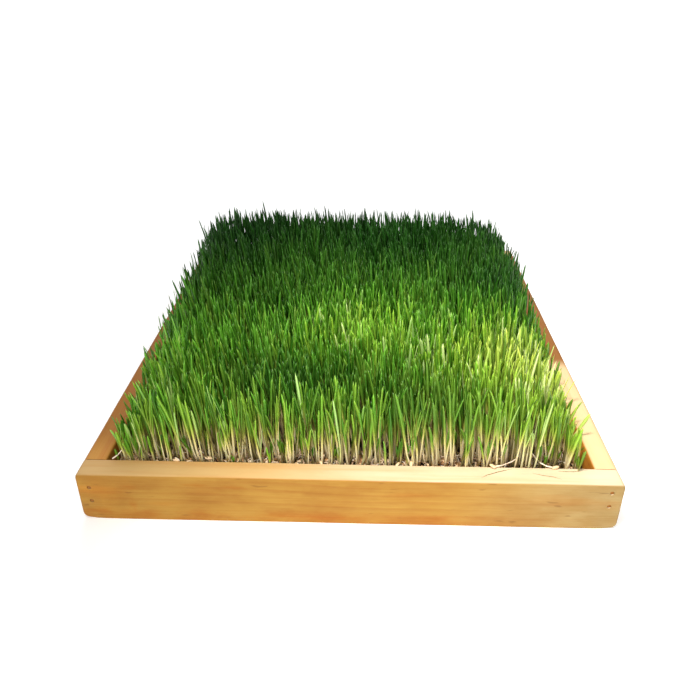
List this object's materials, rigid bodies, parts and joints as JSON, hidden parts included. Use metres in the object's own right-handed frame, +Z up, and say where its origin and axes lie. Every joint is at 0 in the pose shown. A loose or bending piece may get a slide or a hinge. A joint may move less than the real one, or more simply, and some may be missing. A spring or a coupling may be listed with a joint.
{
  "type": "wheatgrass tray",
  "caption": "Shallow open wooden tray filled with soil and a dense rectangular lawn of upright young wheatgrass, pale at the stems and bright green at the tips.",
  "frame": {"origin": "middle of the tray's flat underside, which is the middle of the outer rectangle of its rails", "axes": "+Z up, +Y from the front rail to the back rail along the longer side, +X to the right as seen from the front"},
  "size_m": [0.48, 0.56, 0.138],
  "materials": {
    "pine": "satin",
    "plywood": "matte",
    "steel": "satin",
    "soil": "matte",
    "seeds_and_roots": "matte",
    "grass": "satin"
  },
  "bodies": {
    "root": {"front_rail": "pine", "back_rail": "pine", "left_rail": "pine", "right_rail": "pine", "bottom_panel": "plywood", "nail_front_left_lower": "steel", "nail_front_left_upper": "steel", "nail_front_right_lower": "steel", "nail_front_right_upper": "steel", "nail_back_left_lower": "steel", "nail_back_left_upper": "steel", "nail_back_right_lower": "steel", "nail_back_right_upper": "steel", "panel_pin_front_1": "steel", "panel_pin_front_2": "steel", "panel_pin_front_3": "steel", "panel_pin_back_1": "steel", "panel_pin_back_2": "steel", "panel_pin_back_3": "steel", "panel_pin_left_1": "steel", "panel_pin_left_2": "steel", "panel_pin_left_3": "steel", "panel_pin_right_1": "steel", "panel_pin_right_2": "steel", "panel_pin_right_3": "steel", "soil_bed": "soil", "seed_and_root_layer": "seeds_and_roots", "grass_patch_r1_c1": "grass", "grass_patch_r1_c2": "grass", "grass_patch_r1_c3": "grass", "grass_patch_r1_c4": "grass", "grass_patch_r1_c5": "grass", "grass_patch_r2_c1": "grass", "grass_patch_r2_c2": "grass", "grass_patch_r2_c3": "grass", "grass_patch_r2_c4": "grass", "grass_patch_r2_c5": "grass", "grass_patch_r3_c1": "grass", "grass_patch_r3_c2": "grass", "grass_patch_r3_c3": "grass", "grass_patch_r3_c4": "grass", "grass_patch_r3_c5": "grass", "grass_patch_r4_c1": "grass", "grass_patch_r4_c2": "grass", "grass_patch_r4_c3": "grass", "grass_patch_r4_c4": "grass", "grass_patch_r4_c5": "grass", "grass_patch_r5_c1": "grass", "grass_patch_r5_c2": "grass", "grass_patch_r5_c3": "grass", "grass_patch_r5_c4": "grass", "grass_patch_r5_c5": "grass", "grass_patch_r6_c1": "grass", "grass_patch_r6_c2": "grass", "grass_patch_r6_c3": "grass", "grass_patch_r6_c4": "grass", "grass_patch_r6_c5": "grass"}
  },
  "joints": []
}
